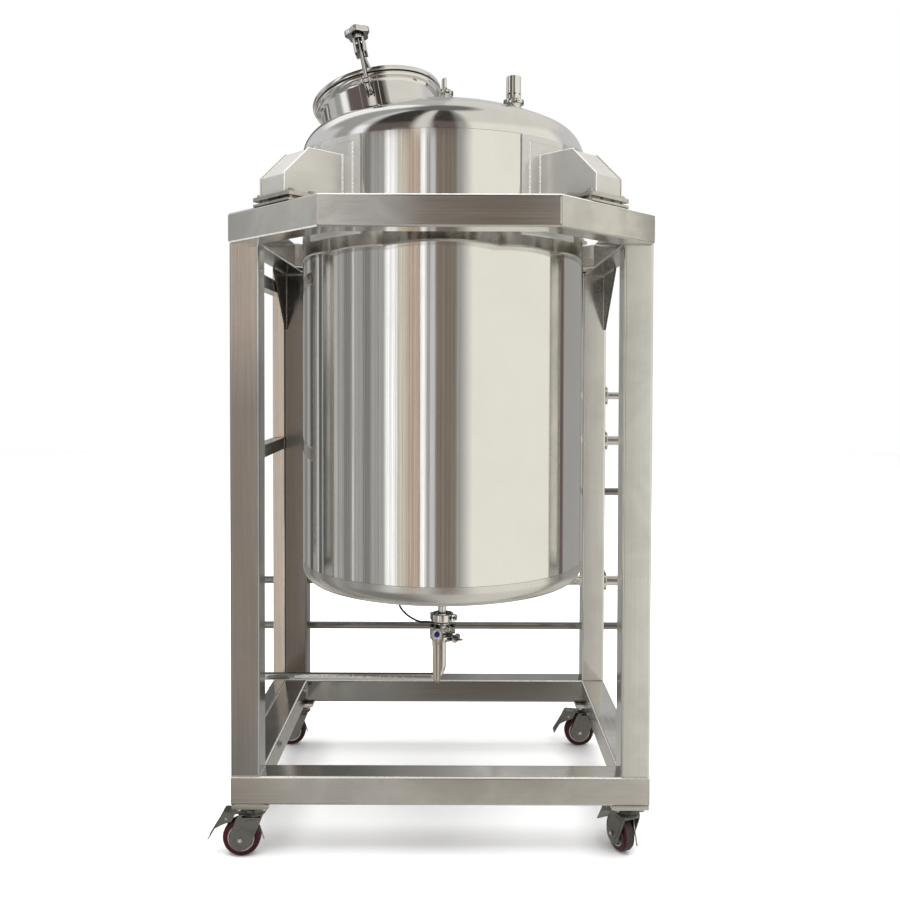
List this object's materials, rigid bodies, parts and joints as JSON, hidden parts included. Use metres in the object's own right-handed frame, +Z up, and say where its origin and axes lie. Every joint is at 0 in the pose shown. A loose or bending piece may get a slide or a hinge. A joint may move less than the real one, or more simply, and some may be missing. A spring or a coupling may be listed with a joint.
{
  "type": "vertical storage tank",
  "caption": "Round stainless steel holding tank with dished ends and a manway, hung by lugs on load cells in a wheeled square-tube stand, with a bottom outlet valve.",
  "frame": {"origin": "centre of the overall box, on the floor under the casters", "axes": "+Z up along the tank's axis, -Y towards the front where the valve handle is, +X to the right seen from the front"},
  "size_m": [1.32, 1.18, 2.2355],
  "materials": {
    "brushed": "brushed stainless square tube and sheet",
    "polished": "mirror polished stainless",
    "shell": "bright rolled stainless sheet",
    "zinc": "zinc plated pressed steel",
    "red": "dark red polyurethane",
    "black": "black cable sheath"
  },
  "bodies": {
    "stand": {"base_front": "brushed", "base_left": "brushed", "base_rear": "brushed", "base_right": "brushed", "bottom_head": "shell", "drain_pipe": "polished", "gusset_left": "brushed", "gusset_right": "brushed", "load_cell_fl": "zinc", "load_cell_fr": "zinc", "load_cell_rl": "zinc", "load_cell_rr": "zinc", "lug_fl": "brushed", "lug_fr": "brushed", "lug_rl": "brushed", "lug_rr": "brushed", "manway_lid": "polished", "manway_neck": "polished", "nozzle_low": "polished", "nozzle_middle": "polished", "nozzle_top": "polished", "outlet_pipe": "polished", "post_fl": "brushed", "post_fr": "brushed", "post_rl": "brushed", "post_rr": "brushed", "probe_cable": "black", "rack_base": "brushed", "rack_front": "brushed", "rack_middle": "brushed", "rack_rear": "brushed", "rack_top": "brushed", "relief_valve": "polished", "ring_front": "brushed", "ring_front_left": "brushed", "ring_front_right": "brushed", "ring_left": "brushed", "ring_rear": "brushed", "ring_rear_left": "brushed", "ring_rear_right": "brushed", "ring_right": "brushed", "rod_high": "brushed", "rod_low": "brushed", "rod_middle": "brushed", "shell": "shell", "top_head": "polished", "valve_body": "polished", "vent": "polished"},
    "fork_fl": {"caster_fork_fl": "zinc"},
    "wheel_fl": {"caster_wheel_fl": "red"},
    "fork_fr": {"caster_fork_fr": "zinc"},
    "wheel_fr": {"caster_wheel_fr": "red"},
    "fork_rl": {"caster_fork_rl": "zinc"},
    "wheel_rl": {"caster_wheel_rl": "red"},
    "fork_rr": {"caster_fork_rr": "zinc"},
    "wheel_rr": {"caster_wheel_rr": "red"},
    "bolt": {"swing_bolt": "polished"},
    "handle": {"valve_handle": "polished"}
  },
  "joints": [
    {"name": "swivel_fl", "type": "hinge", "parent": "stand", "child": "fork_fl", "pos_m": [-0.5, -0.2545, 0.14], "axis": [0, 0, 1], "continuous": true},
    {"name": "roll_fl", "type": "hinge", "parent": "fork_fl", "child": "wheel_fl", "pos_m": [-0.532, -0.2545, 0.05], "axis": [0, -1, 0], "continuous": true},
    {"name": "swivel_fr", "type": "hinge", "parent": "stand", "child": "fork_fr", "pos_m": [0.5, -0.2545, 0.14], "axis": [0, 0, 1], "continuous": true},
    {"name": "roll_fr", "type": "hinge", "parent": "fork_fr", "child": "wheel_fr", "pos_m": [0.48801, -0.22483, 0.05], "axis": [-0.9272, -0.3746, 0], "continuous": true},
    {"name": "swivel_rl", "type": "hinge", "parent": "stand", "child": "fork_rl", "pos_m": [-0.5, 0.4655, 0.14], "axis": [0, 0, 1], "continuous": true},
    {"name": "roll_rl", "type": "hinge", "parent": "fork_rl", "child": "wheel_rl", "pos_m": [-0.532, 0.4655, 0.05], "axis": [0, -1, 0], "continuous": true},
    {"name": "swivel_rr", "type": "hinge", "parent": "stand", "child": "fork_rr", "pos_m": [0.5, 0.4655, 0.14], "axis": [0, 0, 1], "continuous": true},
    {"name": "roll_rr", "type": "hinge", "parent": "fork_rr", "child": "wheel_rr", "pos_m": [0.468, 0.4655, 0.05], "axis": [0, -1, 0], "continuous": true},
    {"name": "valve_turn", "type": "hinge", "parent": "stand", "child": "handle", "pos_m": [-0.0143, -0.0865, 0.5458], "axis": [0, 1, 0], "range_deg": [0, 90]},
    {"name": "bolt_swing", "type": "hinge", "parent": "stand", "child": "bolt", "pos_m": [-0.20689, -0.18511, 2.08374], "axis": [0.9769, -0.0585, 0.2055], "range_deg": [0, 85]}
  ]
}
